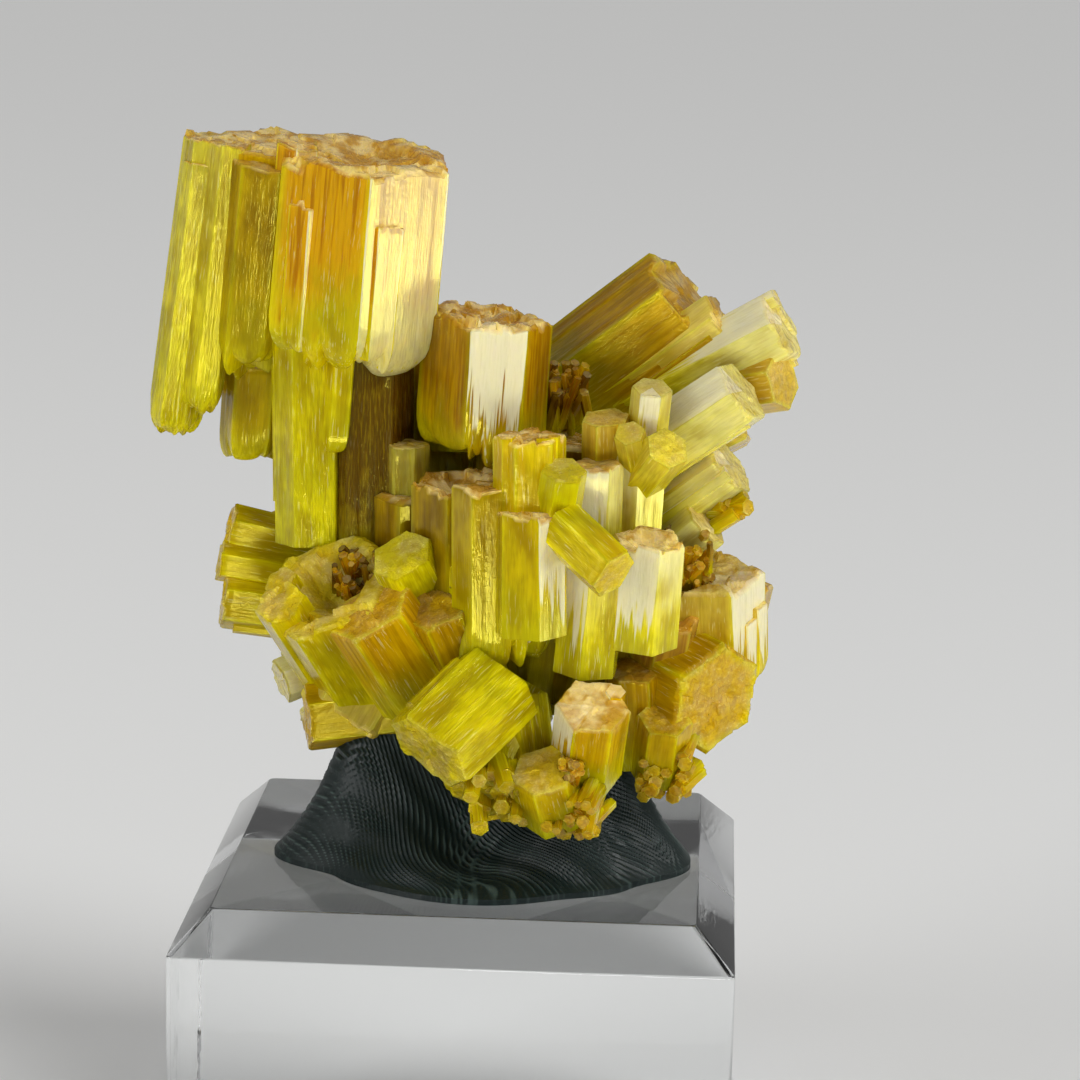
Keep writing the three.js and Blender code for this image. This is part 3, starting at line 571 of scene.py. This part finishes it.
class Nodes:
    """A short way to write a material's node tree."""

    def __init__(self, name):
        self.material = bpy.data.materials.new(name)
        self.material.use_nodes = True
        self.tree = self.material.node_tree
        self.shader = self.tree.nodes["Principled BSDF"]

    def link(self, value, socket):
        if isinstance(value, bpy.types.NodeSocket):
            self.tree.links.new(value, socket)
        elif value is not None:
            socket.default_value = value

    def add(self, kind, **settings):
        node = self.tree.nodes.new(kind)
        for key, value in settings.items():
            setattr(node, key, value)
        return node

    def attribute(self, name, output="Vector"):
        return self.add("ShaderNodeAttribute", attribute_name=name).outputs[output]

    def object_place(self):
        return self.add("ShaderNodeTexCoord").outputs["Object"]

    def scaled(self, vector, scale):
        node = self.add("ShaderNodeVectorMath", operation="MULTIPLY")
        self.link(vector, node.inputs[0])
        node.inputs[1].default_value = scale
        return node.outputs["Vector"]

    def parts(self, vector):
        node = self.add("ShaderNodeSeparateXYZ")
        self.link(vector, node.inputs[0])
        return node.outputs

    def noise(self, vector, scale, detail=2.0, roughness=0.5, distortion=0.0):
        node = self.add("ShaderNodeTexNoise")
        self.link(vector, node.inputs["Vector"])
        for key, value in (("Scale", scale), ("Detail", detail), ("Roughness", roughness),
                           ("Distortion", distortion)):
            node.inputs[key].default_value = value
        return node.outputs["Fac"]

    def cells(self, vector, scale):
        """Distance to the nearest of scattered points, across x and y only."""
        node = self.add("ShaderNodeTexVoronoi", voronoi_dimensions="2D")
        self.link(vector, node.inputs["Vector"])
        node.inputs["Scale"].default_value = scale
        return node.outputs["Distance"]

    def spread(self, value, low, high, to_low=0.0, to_high=1.0):
        node = self.add("ShaderNodeMapRange", interpolation_type="SMOOTHSTEP")
        self.link(value, node.inputs["Value"])
        for key, number in (("From Min", low), ("From Max", high), ("To Min", to_low),
                            ("To Max", to_high)):
            node.inputs[key].default_value = number
        return node.outputs["Result"]

    def math(self, operation, a, b=None, c=None):
        node = self.add("ShaderNodeMath", operation=operation)
        for value, socket in zip((a, b, c), node.inputs):
            self.link(value, socket)
        return node.outputs[0]

    def blend(self, share, a, b, kind="MIX"):
        node = self.add("ShaderNodeMix", data_type="RGBA", blend_type=kind)
        self.link(share, node.inputs[0])
        self.link(a, node.inputs[6])
        self.link(b, node.inputs[7])
        return node.outputs[2]

    def bump(self, height, distance, strength=1.0, under=None):
        node = self.add("ShaderNodeBump")
        node.inputs["Strength"].default_value = strength
        node.inputs["Distance"].default_value = distance
        self.link(height, node.inputs["Height"])
        self.link(under, node.inputs["Normal"])
        return node.outputs["Normal"]


def rgba(colour):
    return (*colour[:3], 1.0)


def crystal_material(settings):
    """Pyromorphite: translucent yellow, amber towards the tip and in the heart, finely striated, with painted
    shade, glare and glints.
    """
    nodes = Nodes("striated_pyromorphite")
    place = nodes.object_place()
    axis = nodes.attribute("along_axis")
    share, edge, is_end = nodes.parts(nodes.attribute("place_on_crystal"))
    amber, pale, dark = nodes.parts(nodes.attribute("looks"))
    grooved, crusted, frost = nodes.parts(nodes.attribute("relief"))
    cloud = nodes.noise(place, 260, 3, 0.62)
    patch = nodes.noise(nodes.scaled(axis, (1, 1, 0.45)), 0.75, 2, 0.55)
    streak = nodes.noise(nodes.scaled(axis, (1, 1, 0.05)), 3.4, 2, 0.6)
    fibre = nodes.noise(nodes.scaled(axis, (1, 1, 0.09)), 8.5, 2, 0.6)

    mottle = nodes.math("MULTIPLY_ADD", streak, 0.5, patch)
    veined = nodes.math("MULTIPLY_ADD", fibre, 0.35, cloud)
    colour = nodes.blend(nodes.spread(veined, 0.54, 0.8), rgba(settings.lemon), rgba(settings.lime))
    # Painted shade: olive in the middle of each side, brighter lemon towards the crystal's edges, as if light
    # shone through the thin edges
    deep = nodes.math("MULTIPLY", nodes.spread(mottle, 0.62, 0.95, 0, 0.7),
                      nodes.spread(edge, 0.5, 1, 1, 0.2))
    colour = nodes.blend(deep, colour, rgba(settings.olive))
    wander = nodes.math("ADD", nodes.math("MULTIPLY_ADD", cloud, 0.9, share),
                        nodes.math("MULTIPLY_ADD", mottle, 0.7, -0.52))
    heart = nodes.math("MULTIPLY", amber, nodes.spread(wander, 0.75, 1.4, 1.15, 0.05))
    # The amber heart is the crystal's own zoning; its fading towards the edges is painted light, the thin
    # edges glowing brighter
    heart = nodes.math("MULTIPLY", heart, nodes.spread(edge, 0.78, 1.0, 1.0, 0.3))
    warm = nodes.blend(nodes.spread(streak, 0.38, 0.6), rgba(settings.amber), rgba(settings.gold))
    colour = nodes.blend(heart, colour, warm)
    milky = nodes.math("MULTIPLY", pale, nodes.spread(wander, 0.5, 1.15, 1.0, 0.05))
    colour = nodes.blend(nodes.math("MULTIPLY", milky, nodes.spread(streak, 0.3, 0.6, 0.7, 1.0)),
                         colour, rgba(settings.pale))
    spots = nodes.math("MULTIPLY", dark, nodes.spread(patch, 0.35, 0.65, 0.65, 1.1))
    colour = nodes.blend(nodes.math("MULTIPLY", spots, nodes.spread(wander, 0.8, 1.5, 1.0, 0.35)),
                         colour, rgba(settings.umber))
    # Painted glare: a cream highlight painted into the colour on the side that faces the lights, with a
    # ragged edge, thinner where it covers most of the side
    ragged = nodes.math("ADD", nodes.math("MULTIPLY_ADD", streak, 1.6, -0.8),
                        nodes.math("SUBTRACT", frost, share))
    cover = nodes.math("MULTIPLY", nodes.spread(frost, 0, 0.2),
                       nodes.spread(frost, 0.8, 1.2, 0.9, 0.4))
    frosted = nodes.math("MULTIPLY", cover, nodes.spread(ragged, -0.06, 0.1))
    colour = nodes.blend(frosted, colour, rgba(settings.frost))
    lines = nodes.math("MULTIPLY", grooved, nodes.spread(fibre, 0.5, 0.66, 0, 0.32))
    colour = nodes.blend(lines, colour, rgba(settings.olive))
    # Painted glints: pale flecks along the fibres, glints off fine internal veils painted into the colour,
    # fewer on dark crystals
    glint_flecks = nodes.math("MULTIPLY", nodes.spread(fibre, 0.42, 0.32, 0, 0.3),
                        nodes.spread(patch, 0.4, 0.6))
    glint_flecks = nodes.math("MULTIPLY", glint_flecks, nodes.spread(dark, 0, 0.6, 1, 0.15))
    colour = nodes.blend(glint_flecks, colour, rgba(settings.pale))
    crust = nodes.blend(nodes.spread(patch, 0.42, 0.6), rgba(settings.crust), rgba(settings.crust_light))
    covered = nodes.math("MULTIPLY", nodes.spread(crusted, 0.2, 0.9, 0.15, 1),
                         nodes.spread(cloud, 0.3, 0.6, 0.55, 0.95))
    colour = nodes.blend(nodes.math("MULTIPLY", is_end, covered), colour, crust)
    colour = nodes.blend(settings.shade, colour, (0.0, 0.0, 0.0, 1.0))
    nodes.link(colour, nodes.shader.inputs["Base Color"])

    gloss = nodes.spread(streak, 0.35, 0.65, 0.05, 0.17)
    dulled = nodes.math("MULTIPLY", nodes.math("MULTIPLY", is_end, crusted), 0.12)
    nodes.link(nodes.math("ADD", gloss, dulled), nodes.shader.inputs["Roughness"])

    grain = nodes.noise(place, 2800, 2, 0.65)
    normal = nodes.bump(nodes.math("MULTIPLY", fibre, grooved), 0.00012, 0.5)
    grain = nodes.math("MULTIPLY", grain, nodes.spread(is_end, 0, 1, 0.1, 1.0))
    pebbles = nodes.math("MULTIPLY", is_end, nodes.cells(axis, 1.7))
    grain = nodes.math("MULTIPLY_ADD", pebbles, 1.2, grain)
    nodes.link(nodes.bump(grain, 0.0002, 0.6, normal), nodes.shader.inputs["Normal"])

    nodes.shader.subsurface_method = "BURLEY"
    shader = nodes.shader.inputs
    shader["IOR"].default_value = 1.5
    shader["Specular Tint"].default_value = (1.0, 0.9, 0.12, 1.0)
    shader["Subsurface Weight"].default_value = settings.scatter
    shader["Subsurface Radius"].default_value = (1.0, 0.75, 0.06)
    shader["Subsurface Scale"].default_value = settings.scatter_depth * MM
    return nodes.material


def putty_material(settings):
    """Dark grey-green putty: a sheen painted lighter on the ridge crests, dust and small lint marks."""
    nodes = Nodes("thumbed_putty")
    place = nodes.object_place()
    cloud = nodes.noise(place, 180, 4, 0.6)
    dust = nodes.noise(place, 4200, 2, 0.7)
    # Painted sheen: the ridge crests are painted a lighter colour, as if they caught the light
    crest_sheen = nodes.spread(nodes.attribute("ridge", "Fac"), 0.3, 0.8)
    crest_sheen = nodes.math("MULTIPLY", crest_sheen, nodes.spread(cloud, 0.3, 0.7, 0.4, 1.0))
    colour = nodes.blend(crest_sheen, rgba(settings.colour), rgba(settings.ridge_sheen_colour))
    colour = nodes.blend(nodes.spread(dust, 0.62, 0.8, 0, 0.35), colour, rgba(settings.dust_colour))
    nodes.link(colour, nodes.shader.inputs["Base Color"])
    nodes.link(nodes.spread(cloud, 0.3, 0.7, 0.36, 0.58), nodes.shader.inputs["Roughness"])
    normal = nodes.bump(nodes.noise(place, 2600, 2, 0.65), 0.00005, 0.7)
    nodes.link(normal, nodes.shader.inputs["Normal"])
    nodes.shader.inputs["Specular IOR Level"].default_value = 0.3
    return nodes.material


def acrylic_material(settings):
    """Clear polished acrylic with faint smears and hairline scratches."""
    nodes = Nodes("polished_acrylic")
    place = nodes.object_place()
    smear = nodes.noise(nodes.scaled(place, (1, 0.5, 1)), 150, 4, 0.65, 0.6)
    scratch = nodes.noise(nodes.scaled(place, (6, 0.4, 1)), 900, 2, 0.5)
    nodes.link(nodes.spread(smear, 0.5, 0.75, 0.015, 0.13), nodes.shader.inputs["Roughness"])
    nodes.link(nodes.bump(scratch, 0.000004, 0.4), nodes.shader.inputs["Normal"])
    shader = nodes.shader.inputs
    shader["Base Color"].default_value = rgba(settings.tint)
    shader["IOR"].default_value = 1.49
    shader["Transmission Weight"].default_value = 1.0
    return nodes.material


def number_setting(name, note, value, **limits):
    return bpy.props.FloatProperty(name=name, description=note, default=value, **limits)


def colour_setting(name, note, value):
    return bpy.props.FloatVectorProperty(
        name=name, description=note, subtype="COLOR", size=3, default=value)


class CrystalSettings(bpy.types.PropertyGroup):
    """Surface relief and colours of the crystals."""

    stria_sample: number_setting(
        "Stria Spacing", "Distance between samples across a side, in mm", 0.14, min=0.05, max=1)
    stria_depth: number_setting(
        "Stria Depth", "Depth of the fine lines along a crystal, in mm", 0.045, min=0, max=0.3)
    plateau_depth: number_setting(
        "Plateau Depth", "Depth of the growth plateaus on the sides, in mm", 0.12, min=0, max=0.6)
    finger_length: number_setting(
        "Finger Length", "How unequal the free lower ends are, in mm", 2.4, min=0, max=4)
    rim_drop: number_setting(
        "End Relief", "Depth of the broken relief on a rough end, in mm", 0.8, min=0, max=2)
    scatter: number_setting(
        "Scatter", "Share of the light that spreads inside the crystal", 0.85, min=0, max=1, subtype="FACTOR")
    scatter_depth: number_setting("Scatter Depth", "How deep the light spreads, in mm", 1.2, min=0)
    shade: number_setting(
        "Shade", "How far all the colours are darkened", 0.08, min=0, max=1, subtype="FACTOR")
    lime: colour_setting("Lime", "Main colour", (0.40, 0.36, 0.001))
    lemon: colour_setting("Lemon", "Bright streaks", (0.62, 0.54, 0.001))
    # Olive is the painted shade in the middle of the sides, and the colour of the dark lines on grooved sides
    olive: colour_setting("Olive", "Deeper parts", (0.24, 0.165, 0.001))
    amber: colour_setting("Amber", "Orange-brown heart", (0.32, 0.115, 0.0005))
    gold: colour_setting("Gold", "Golden streaks in the heart", (0.50, 0.25, 0.001))
    umber: colour_setting("Umber", "Dark brown patches", (0.06, 0.022, 0.001))
    # Cream colour of the glare painted on the sides that face the lights
    frost: colour_setting("Glare", "Cream frosted sides", (0.62, 0.58, 0.38))
    pale: colour_setting("Pale", "Pale greenish crystals", (0.66, 0.63, 0.30))
    crust: colour_setting("Crust", "Brown crust on the ends", (0.44, 0.23, 0.035))
    crust_light: colour_setting("Pale Crust", "Cream parts of the ends", (0.72, 0.54, 0.22))


class PuttySettings(bpy.types.PropertyGroup):
    """Ridges and colours of the putty."""

    ridge_pitch: number_setting("Ridge Pitch", "Distance between fingerprint ridges, in mm", 0.46)
    ridge_depth: number_setting("Ridge Depth", "Depth of the fingerprint ridges, in mm", 0.1)
    colour: colour_setting("Colour", "Main colour", (0.004, 0.010, 0.009))
    # The lighter colour is a sheen painted on the ridge crests
    ridge_sheen_colour: colour_setting("Sheen Colour", "Lighter areas", (0.045, 0.07, 0.062))
    dust_colour: colour_setting("Dust", "Dust on the ridges", (0.12, 0.13, 0.12))


class BlockSettings(bpy.types.PropertyGroup):
    """Edges and tint of the display block."""

    edge_radius: number_setting("Edge Radius", "Radius of the polished edges, in mm", 0.22, min=0.02)
    tint: colour_setting("Tint", "Tint of the clear acrylic", (0.97, 0.985, 0.99))


class StageSettings(bpy.types.PropertyGroup):
    """Camera, floor and lights."""

    camera_place: bpy.props.FloatVectorProperty(
        name="Camera Place", description="Where the camera stands, in metres", subtype="TRANSLATION",
        size=3, default=(0.01325, -0.20563, 0.08099))
    camera_turn: bpy.props.FloatVectorProperty(
        name="Camera Turn", description="Which way the camera faces", subtype="EULER", size=3,
        default=(math.radians(78.178), math.radians(-1.239), math.radians(2.892)))
    lens: number_setting("Lens", "Focal length on a 36 mm sensor, in mm", 119.6)
    floor_colour: colour_setting("Floor", "Colour of the floor", (0.80, 0.80, 0.79))
    world_light: number_setting("World Light", "Strength of the even light", 0.32)
    key_light: number_setting("Key Light", "Power of the light at the right, in watts", 1.0)
    fill_light: number_setting("Fill Light", "Power of the light at the left, in watts", 1.6)
    low_light: number_setting("Low Light", "Power of each small reflector low in front, in watts", 0.14)
    sun_light: number_setting("Sun Light", "Strength of the wide light over everything", 1.35)


def build_crystals(name, specs, seed, settings):
    """Fuses the crystals of one group, with their growth steps, into one piece on the frame."""
    piece = fuse(name, mesh_of_crystals(name, specs, settings, seed))
    material = bpy.data.materials.get("striated_pyromorphite") or crystal_material(settings)
    piece.data.materials.clear()
    piece.data.materials.append(material)
    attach(piece, "root")
    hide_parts("pyromorphite_cluster")
    return piece


def group_specs(group):
    """A group's crystals with their growth steps, seeded by each crystal's place in the whole list."""
    order = ("core", "upper_left", "centre", "right_fan", "lower_left", "lower_right", "back")
    before = sum(len(GROUPS[name]) for name in order[:order.index(group)])
    specs = list(GROUPS[group])
    for index, main in enumerate(GROUPS[group]):
        specs += growth_steps(main, 101 + 37 * (before + index))
    return specs


class CrystalGroup:
    """Shared by the operators that grow one group of crystals."""

    bl_options = {"REGISTER", "UNDO"}
    group = ""
    seed = 0

    def execute(self, context):
        settings = context.scene.specimen_crystals
        build_crystals(self.group + "_crystals", group_specs(self.group), self.seed, settings)
        return {"FINISHED"}


class SPECIMEN_OT_core(CrystalGroup, bpy.types.Operator):
    """Grow the large crystals in the middle of the cluster"""

    bl_idname = "specimen.core"
    bl_label = "Core Crystals"
    group, seed = "core", 11


class SPECIMEN_OT_upper_left(CrystalGroup, bpy.types.Operator):
    """Grow the tall crystals that overhang at the upper left"""

    bl_idname = "specimen.upper_left"
    bl_label = "Upper Left Crystals"
    group, seed = "upper_left", 12


class SPECIMEN_OT_centre(CrystalGroup, bpy.types.Operator):
    """Grow the centre column and the upright crystals in front of it"""

    bl_idname = "specimen.centre"
    bl_label = "Centre Crystals"
    group, seed = "centre", 13


class SPECIMEN_OT_right_fan(CrystalGroup, bpy.types.Operator):
    """Grow the fan of crystals that points up and right"""

    bl_idname = "specimen.right_fan"
    bl_label = "Right Fan Crystals"
    group, seed = "right_fan", 14


class SPECIMEN_OT_lower_left(CrystalGroup, bpy.types.Operator):
    """Grow the short crystals at the lower left"""

    bl_idname = "specimen.lower_left"
    bl_label = "Lower Left Crystals"
    group, seed = "lower_left", 15


class SPECIMEN_OT_lower_right(CrystalGroup, bpy.types.Operator):
    """Grow the stout crystals at the lower right"""

    bl_idname = "specimen.lower_right"
    bl_label = "Lower Right Crystals"
    group, seed = "lower_right", 16


class SPECIMEN_OT_back(CrystalGroup, bpy.types.Operator):
    """Grow the crystals of the back"""

    bl_idname = "specimen.back"
    bl_label = "Back Crystals"
    group, seed = "back", 17


class SPECIMEN_OT_druse(bpy.types.Operator):
    """Grow the crusts of very small crystals"""

    bl_idname = "specimen.druse"
    bl_label = "Druse"
    bl_options = {"REGISTER", "UNDO"}

    def execute(self, context):
        grains = []
        for index, druse in enumerate(DRUSES):
            grains += druse_grains(druse, 907 + 53 * index)
        build_crystals("druse_crystals", grains, 18, context.scene.specimen_crystals)
        return {"FINISHED"}


class SPECIMEN_OT_putty(bpy.types.Operator):
    """Press the putty mound onto the block"""

    bl_idname = "specimen.putty"
    bl_label = "Putty"
    bl_options = {"REGISTER", "UNDO"}

    def execute(self, context):
        settings = context.scene.specimen_putty
        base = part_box("mounting_putty")[0].z / MM
        columns, rings = ((720, 125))
        angle = np.linspace(0, 2 * np.pi, columns, endpoint=False)[None, :]
        share = np.concatenate([[1.0], np.linspace(1, 0.02, rings)])[:, None]
        reach = putty_reach(angle) * share
        x = PUTTY_CENTRE[0] + reach * np.cos(angle)
        y = PUTTY_CENTRE[1] + reach * np.sin(angle)
        z = base + putty_height(x, y, share + 0 * x)
        ridges = putty_ridges(x, y, z, settings.ridge_pitch)
        mound = np.stack([x, y, z], 2)
        around = np.roll(mound, -1, 1) - np.roll(mound, 1, 1)
        inward = np.gradient(mound, axis=0)
        out = np.cross(around, inward)
        out /= np.linalg.norm(out, axis=2, keepdims=True) + 1e-9
        mound += out * (settings.ridge_depth * ridges * np.clip((1 - share) * 14, 0, 1))[:, :, None]
        mound[0, :, 2] = base
        piece = finish_piece("putty_mound", grid_mesh("putty_mound", mound))
        layer = piece.data.attributes.new("ridge", "FLOAT", "POINT")
        layer.data.foreach_set("value", np.append(ridges, [0, 0]).astype(np.float32))
        piece.data.materials.append(putty_material(settings))
        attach(piece, "root")
        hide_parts("mounting_putty")
        return {"FINISHED"}


class SPECIMEN_OT_block(bpy.types.Operator):
    """Make the clear display block with its polished bevel"""

    bl_idname = "specimen.block"
    bl_label = "Display Block"
    bl_options = {"REGISTER", "UNDO"}

    def execute(self, context):
        settings = context.scene.specimen_block
        low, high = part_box("acrylic_block")
        half = (high.x - low.x) / 2 / MM
        top = high.z / MM
        radius = settings.edge_radius
        profile = rounded_profile(
            [(0, 0), (half, 0), (half, top - BEVEL_DROP), (half - BEVEL_INSET, top), (0, top)], radius, 5)
        rings = [square_ring(reach, height, radius * 1.6, 5) for reach, height in profile if reach > 0]
        piece = finish_piece("display_block", grid_mesh("display_block", np.array(rings)))
        piece.data.materials.append(acrylic_material(settings))
        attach(piece, "root")
        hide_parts("acrylic_block")
        return {"FINISHED"}


def rounded_profile(corners, radius, steps):
    """A line through the corners, with each inner one replaced by an arc that meets both sides."""
    corners = np.array(corners, float)
    points = [corners[0]]
    for before, corner, after in zip(corners, corners[1:], corners[2:]):
        into = (corner - before) / np.linalg.norm(corner - before)
        away = (after - corner) / np.linalg.norm(after - corner)
        bend = math.acos(float(np.clip(into @ away, -1, 1)))
        reach = radius * math.tan(bend / 2)
        start, end = corner - into * reach, corner + away * reach
        for share in np.linspace(0, 1, steps):
            bowed = (1 - share) ** 2 * start + 2 * share * (1 - share) * corner + share ** 2 * end
            points.append(bowed)
    points.append(corners[-1])
    return np.array(points)


def square_ring(reach, height, radius, steps):
    """A square with round corners at one height, anticlockwise, as an array of points."""
    radius = min(radius, reach * 0.5)
    points = []
    for quarter in range(4):
        middle = (quarter + 0.5) * math.pi / 2
        centre = (reach - radius) * math.sqrt(2) * np.array([math.cos(middle), math.sin(middle)])
        for angle in np.linspace(middle - math.pi / 4, middle + math.pi / 4, steps):
            spot = centre + radius * np.array([math.cos(angle), math.sin(angle)])
            points.append([spot[0], spot[1], height])
    return points


class SPECIMEN_OT_stage(bpy.types.Operator):
    """Set the floor, the lights and the camera"""

    bl_idname = "specimen.stage"
    bl_label = "Stage"
    bl_options = {"REGISTER", "UNDO"}

    def execute(self, context):
        settings = context.scene.specimen_stage
        self.floor(settings)
        self.world(context, settings)
        aim = (0.001, 0.0, 0.04)
        soft_light("key_light", (0.46, -0.26, 0.24), aim, (0.30, 0.44), settings.key_light)
        soft_light("fill_light", (-0.46, -0.34, 0.22), aim, (0.26, 0.34), settings.fill_light)
        sun = bpy.data.lights.new("sun_light", "SUN")
        sun.energy = settings.sun_light
        sun.angle = math.radians(30)
        place_light(sun, (0.45, -0.30, 0.60), aim)
        for name, x, y in (("low_right", 0.112, -0.045), ("low_front", 0.022, -0.112)):
            soft_light(name, (x, y, 0.002), (x, y, 1), (0.055, 0.055), settings.low_light)
        self.camera(context, settings)
        context.scene.view_settings.view_transform = "Standard"
        return {"FINISHED"}

    def floor(self, settings):
        size, level = 3.0, -FLOOR_GAP * MM
        mesh = bpy.data.meshes.new("floor")
        corners = [(-size, -size, level), (size, -size, level), (size, size, level), (-size, size, level)]
        mesh.from_pydata(corners, [], [(0, 1, 2, 3)])
        floor = bpy.data.objects.new("floor", mesh)
        bpy.context.scene.collection.objects.link(floor)
        nodes = Nodes("floor")
        nodes.shader.inputs["Base Color"].default_value = rgba(settings.floor_colour)
        nodes.shader.inputs["Roughness"].default_value = 0.8
        mesh.materials.append(nodes.material)

    def world(self, context, settings):
        world = bpy.data.worlds.new("studio")
        world.use_nodes = True
        background = world.node_tree.nodes["Background"]
        background.inputs["Color"].default_value = (1.0, 1.0, 1.0, 1.0)
        background.inputs["Strength"].default_value = settings.world_light
        context.scene.world = world

    def camera(self, context, settings):
        data = bpy.data.cameras.new("camera")
        data.lens = settings.lens
        data.sensor_width = 36
        data.clip_start = 0.01
        camera = bpy.data.objects.new("camera", data)
        context.scene.collection.objects.link(camera)
        camera.location = settings.camera_place
        camera.rotation_euler = settings.camera_turn
        context.scene.camera = camera


def soft_light(name, place, aim, size, power):
    """A rectangular soft light at a place, turned to a point."""
    data = bpy.data.lights.new(name, "AREA")
    data.shape = "RECTANGLE"
    data.size, data.size_y = size
    data.energy = power
    place_light(data, place, aim)


def place_light(data, place, aim):
    """Puts a light at a place, turned to a point and unseen by the camera, also through the block."""
    light = bpy.data.objects.new(data.name, data)
    bpy.context.scene.collection.objects.link(light)
    light.visible_camera = light.visible_transmission = False
    light.location = place
    light.rotation_euler = (Vector(aim) - Vector(place)).to_track_quat("-Z", "Y").to_euler()


class SPECIMEN_PT_panel(bpy.types.Panel):
    """Lists the specimen's pieces and settings"""

    bl_label = "Crystal Specimen"
    bl_idname = "SPECIMEN_PT_panel"
    bl_space_type = "VIEW_3D"
    bl_region_type = "UI"
    bl_category = "Specimen"

    def draw(self, context):
        layout = self.layout
        for operator in OPERATORS:
            layout.operator(operator.bl_idname)
        for key in SETTINGS:
            box = layout.box()
            group = getattr(context.scene, key)
            for name in group.bl_rna.properties.keys():
                if name not in ("rna_type", "name"):
                    box.prop(group, name)


SETTINGS = {
    "specimen_crystals": CrystalSettings,
    "specimen_putty": PuttySettings,
    "specimen_block": BlockSettings,
    "specimen_stage": StageSettings,
}

OPERATORS = (
    SPECIMEN_OT_stage,
    SPECIMEN_OT_block,
    SPECIMEN_OT_putty,
    SPECIMEN_OT_core,
    SPECIMEN_OT_upper_left,
    SPECIMEN_OT_centre,
    SPECIMEN_OT_right_fan,
    SPECIMEN_OT_lower_left,
    SPECIMEN_OT_lower_right,
    SPECIMEN_OT_back,
    SPECIMEN_OT_druse,
)


def register():
    for group in (*SETTINGS.values(), *OPERATORS, SPECIMEN_PT_panel):
        bpy.utils.register_class(group)
    for key, group in SETTINGS.items():
        setattr(bpy.types.Scene, key, bpy.props.PointerProperty(type=group))


def unregister():
    for key in SETTINGS:
        delattr(bpy.types.Scene, key)
    for group in (SPECIMEN_PT_panel, *reversed(OPERATORS), *reversed(list(SETTINGS.values()))):
        bpy.utils.unregister_class(group)


def main():
    register()
    bpy.ops.specimen.stage()
    bpy.ops.specimen.block()
    bpy.ops.specimen.putty()
    bpy.ops.specimen.core()
    bpy.ops.specimen.upper_left()
    bpy.ops.specimen.centre()
    bpy.ops.specimen.right_fan()
    bpy.ops.specimen.lower_left()
    bpy.ops.specimen.lower_right()
    bpy.ops.specimen.back()
    bpy.ops.specimen.druse()
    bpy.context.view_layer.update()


if __name__ == "__main__":
    main()
